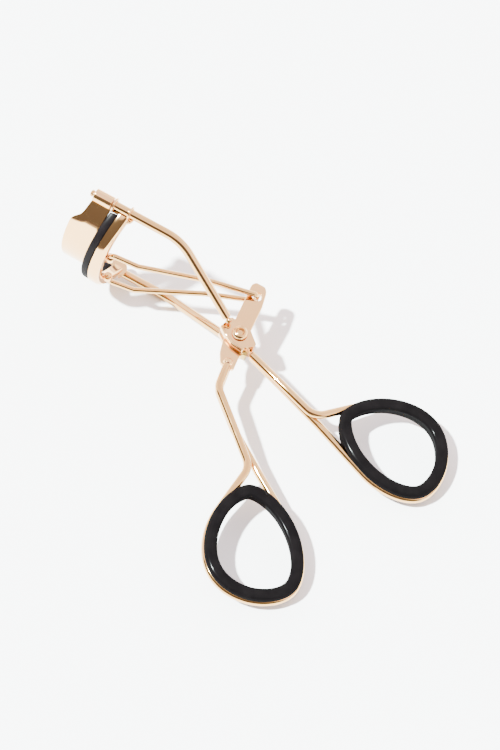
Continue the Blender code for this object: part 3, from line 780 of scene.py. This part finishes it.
def build_lever_plate(sheet):
    holes = [bore((0.0, PIVOT_H), PIVOT_BORE_R), bore(HOOK_AT, HOOK_HOLE_R)]
    meshes = [worked("lever_sheet", lever_sheet, cuts=holes, bevel=LEVER_BEVEL)]
    for side in (-1, 1):
        line = [(*CRIMP_FROM, side * STRAND_W), (*CRIMP_TO, side * STRAND_W)]
        points, radii = eased(rounded_path(line, CRIMP_R), CRIMP_R)
        meshes.append(worked("crimp", lambda shape: tube(shape, points, radii)))
    show("lever_plate", "lever", sheet, meshes)


def build_link(wire):
    half = [
        (*KNUCKLE_AT, LINK_END_W),
        (*KNUCKLE_AT, LINK_BASE_W),
        LINK_ELBOW,
        LINK_KINK,
        (*HOOK_AT, HOOK_W),
    ]
    other_half = [(x, h, -w) for x, h, w in reversed(half)]
    path = rounded_path(half + other_half, LINK_BEND_RADIUS, 12)
    show("link_bail", "link", wire, [wire_mesh("link", path, LINK_R)])


# ---------------------------------------------------------------- materials


class Surface:
    """A Principled material and short calls that add procedural nodes to it."""

    def __init__(self, name, metallic, **constants):
        self.material = bpy.data.materials.new(name)
        self.material.use_nodes = True
        self.tree = self.material.node_tree
        self.shader = self.tree.nodes["Principled BSDF"]
        self.shader.inputs["Metallic"].default_value = metallic
        for socket, value in constants.items():
            self.shader.inputs[socket.replace("_", " ")].default_value = value
        self.place = self.tree.nodes.new("ShaderNodeTexCoord").outputs["Object"]

    def noise(self, scale, detail=2.0):
        node = self.tree.nodes.new("ShaderNodeTexNoise")
        node.inputs["Scale"].default_value = scale
        node.inputs["Detail"].default_value = detail
        self.tree.links.new(self.place, node.inputs["Vector"])
        return node.outputs["Fac"]

    def ramp(self, factor, low, high):
        node = self.tree.nodes.new("ShaderNodeValToRGB")
        for element, (position, colour) in zip(node.color_ramp.elements, (low, high)):
            element.position = position
            element.color = (*colour, 1.0)
        self.tree.links.new(factor, node.inputs["Fac"])
        return node.outputs["Color"]

    def between(self, factor, low, high):
        node = self.tree.nodes.new("ShaderNodeMapRange")
        node.inputs["From Min"].default_value = 0.3
        node.inputs["From Max"].default_value = 0.7
        node.inputs["To Min"].default_value = low
        node.inputs["To Max"].default_value = high
        self.tree.links.new(factor, node.inputs["Value"])
        return node.outputs["Result"]

    def drive(self, socket, output):
        self.tree.links.new(output, self.shader.inputs[socket])

    def bump(self, height, strength, distance):
        node = self.tree.nodes.new("ShaderNodeBump")
        node.inputs["Strength"].default_value = strength
        node.inputs["Distance"].default_value = distance
        self.tree.links.new(height, node.inputs["Height"])
        self.drive("Normal", node.outputs["Normal"])


def plated(name, pale, deep, smooth, hazy, ripple):
    """Polished plating: a drift of colour, roughness from smooth to hazy patches, and a slow ripple."""
    surface = Surface(name, 1.0)
    surface.drive("Base Color", surface.ramp(surface.noise(PLATING_DRIFT), (0.3, deep), (0.7, pale)))
    surface.drive("Roughness", surface.between(surface.noise(PLATING_HAZE, 4.0), smooth, hazy))
    surface.bump(surface.noise(PLATING_RIPPLE, 1.0), ripple, 0.0002)
    return surface.material


def moulded(name, pale, deep, coat, roughness, grain, depth):
    """Black plastic or rubber: near-black with a little drift and grain, under a faint coat."""
    weight, haze = coat
    surface = Surface(name, 0.0, Specular_IOR_Level=0.0, Coat_Weight=weight, Coat_Roughness=haze)
    surface.drive("Base Color", surface.ramp(surface.noise(BLACK_DRIFT, 3.0), (0.35, deep), (0.65, pale)))
    surface.drive("Roughness", surface.between(surface.noise(BLACK_HAZE, 4.0), *roughness))
    surface.bump(surface.noise(grain, 2.0), depth, 0.0001)
    return surface.material


# ---------------------------------------------------------------- stage, light and camera


def build_stage():
    """A pale round floor at z = 0 with a faint drift of colour."""
    shape = bmesh.new()
    turns = [math.tau * i / FLOOR_SIDES for i in range(FLOOR_SIDES)]
    rows = []
    for radius in FLOOR_RADII:
        ring = [(radius * math.cos(turn), radius * math.sin(turn), 0.0) for turn in turns]
        rows.append([shape.verts.new(point) for point in ring])
    for first, second in zip(rows, rows[1:]):
        for i in range(FLOOR_SIDES):
            j = (i + 1) % FLOOR_SIDES
            shape.faces.new((first[i], first[j], second[j], second[i]))
    shape.faces.new(rows[0])
    bmesh.ops.recalc_face_normals(shape, faces=shape.faces)
    mesh = bpy.data.meshes.new("floor")
    shape.to_mesh(mesh)
    shape.free()
    surface = Surface("pale_paper", 0.0, Roughness=0.85)
    drift = surface.noise(FLOOR_DRIFT)
    surface.drive("Base Color", surface.ramp(drift, (0.3, FLOOR_DEEP), (0.7, FLOOR_PALE)))
    mesh.materials.append(surface.material)
    floor = bpy.data.objects.new("floor", mesh)
    bpy.context.scene.collection.objects.link(floor)


def build_world():
    """A room for the polished metal to show: bright on one side, and dark walls on the +y side."""
    world = bpy.data.worlds.new("studio")
    bpy.context.scene.world = world
    world.use_nodes = True
    tree = world.node_tree
    nodes = tree.nodes
    links = tree.links
    background = nodes["Background"]
    background.inputs["Strength"].default_value = WORLD_STRENGTH
    place = nodes.new("ShaderNodeTexCoord").outputs["Generated"]
    split = nodes.new("ShaderNodeSeparateXYZ")
    links.new(place, split.inputs["Vector"])

    def ramp(factor, stops):
        node = nodes.new("ShaderNodeValToRGB")
        elements = node.color_ramp.elements
        while len(elements) < len(stops):
            elements.new(0.5)
        for element, (position, colour) in zip(elements, stops):
            element.position = position
            element.color = (*colour, 1.0)
        links.new(factor, node.inputs["Fac"])
        return node.outputs["Color"]

    def mix(blend, factor, first, second):
        node = nodes.new("ShaderNodeMix")
        node.data_type = "RGBA"
        node.blend_type = blend
        for socket, value in (("Factor", factor), ("A", first), ("B", second)):
            target = [i for i in node.inputs if i.name == socket and i.enabled][0]
            if isinstance(value, (float, tuple)):
                target.default_value = value
            else:
                links.new(value, target)
        return [o for o in node.outputs if o.enabled][0]

    height = ramp(split.outputs["Z"], ROOM_BY_HEIGHT)
    toward = ramp(split.outputs["Y"], DARK_SIDE)
    sides = ramp(split.outputs["Z"], OPEN_SIDE)
    room = mix("MIX", toward, sides, height)
    seen = nodes.new("ShaderNodeLightPath").outputs["Is Camera Ray"]
    links.new(mix("MIX", seen, room, (*BACKDROP, 1.0)), background.inputs["Color"])


def build_sun():
    light = bpy.data.lights.new("key", "SUN")
    light.energy = SUN_STRENGTH
    light.angle = math.radians(SUN_ANGLE)
    light.color = SUN_COLOUR
    lamp = bpy.data.objects.new("key", light)
    lamp.rotation_mode = "QUATERNION"
    lamp.rotation_quaternion = Vector(SUN_FROM).to_track_quat("Z", "Y")
    bpy.context.scene.collection.objects.link(lamp)


def build_camera():
    azimuth = math.radians(CAMERA_AZIMUTH)
    elevation = math.radians(CAMERA_ELEVATION)
    roll = math.radians(CAMERA_ROLL)
    level = math.cos(elevation)
    back = Vector((math.sin(azimuth) * level, -math.cos(azimuth) * level, math.sin(elevation)))
    right = Vector((math.cos(azimuth), math.sin(azimuth), 0.0))
    up = back.cross(right)
    turned_right = right * math.cos(roll) + up * math.sin(roll)
    turned_up = back.cross(turned_right)
    turn = FLAT_TO_WORLD.to_3x3().normalized()
    axes = Matrix([turn @ axis for axis in (turned_right, turned_up, back)]).transposed()
    at = FLAT_TO_WORLD @ (Vector(CAMERA_TARGET) + back * CAMERA_DISTANCE)
    lens = bpy.data.cameras.new("camera")
    lens.lens = CAMERA_LENS
    lens.sensor_width = 36.0
    lens.clip_start = 0.01
    camera = bpy.data.objects.new("camera", lens)
    camera.matrix_world = Matrix.Translation(at) @ axes.to_4x4()
    bpy.context.scene.collection.objects.link(camera)
    bpy.context.scene.camera = camera


# ---------------------------------------------------------------- the scene


def flat_to_world(joints):
    """Where the tool's flat frame lies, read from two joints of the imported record."""
    by_name = {joint["name"]: joint for joint in joints}
    along_x = -Vector(by_name["carriage_slide"]["axis"]).normalized()
    along_w = -Vector(by_name["lever_hinge"]["axis"]).normalized()
    along_h = along_w.cross(along_x).normalized()
    along_x = along_h.cross(along_w)
    origin = Vector(by_name["lever_hinge"]["pos_m"]) - along_h * PIVOT_H * MM
    turn = Matrix((along_x, along_h, along_w)).transposed().to_4x4()
    return Matrix.Translation(origin) @ turn @ Matrix.Scale(MM, 4)


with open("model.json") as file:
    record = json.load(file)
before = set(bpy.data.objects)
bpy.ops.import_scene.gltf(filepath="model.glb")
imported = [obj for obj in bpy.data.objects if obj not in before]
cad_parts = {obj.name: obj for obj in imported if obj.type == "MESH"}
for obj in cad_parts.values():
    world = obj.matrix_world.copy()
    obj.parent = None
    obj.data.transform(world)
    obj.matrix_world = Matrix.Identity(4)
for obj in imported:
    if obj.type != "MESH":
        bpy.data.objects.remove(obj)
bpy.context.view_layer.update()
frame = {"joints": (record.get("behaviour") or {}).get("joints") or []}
FLAT_TO_WORLD = flat_to_world(frame["joints"])

sheet_metal = plated(
    "rose_gold_sheet", SHEET_PALE, SHEET_DEEP, smooth=0.05, hazy=0.09, ripple=0.008)
wire_metal = plated(
    "rose_gold_wire", WIRE_PALE, WIRE_DEEP, smooth=0.05, hazy=0.10, ripple=0.012)
fastener_metal = plated(
    "rose_gold_fastener", WIRE_PALE, WIRE_DEEP, smooth=0.1, hazy=0.16, ripple=0.03)
brass = plated(
    "brass_block", BRASS_PALE, BRASS_DEEP, smooth=0.18, hazy=0.28, ripple=0.03)
black_plastic = moulded(
    "black_plastic", PLASTIC_PALE, PLASTIC_DEEP,
    coat=(0.035, 0.12), roughness=(0.3, 0.4), grain=900.0, depth=0.03)
black_rubber = moulded(
    "black_rubber", RUBBER_PALE, RUBBER_DEEP,
    coat=(0.12, 0.3), roughness=(0.5, 0.6), grain=2500.0, depth=0.12)

build_bracket(sheet_metal, brass)
build_pivot(fastener_metal)
build_guide_rods(wire_metal)
build_fixed_plate(sheet_metal)
build_handles(wire_metal, black_plastic)
build_lever_plate(sheet_metal)
build_bar(sheet_metal, black_rubber)
build_link(wire_metal)
build_stage()
build_world()
build_sun()
build_camera()
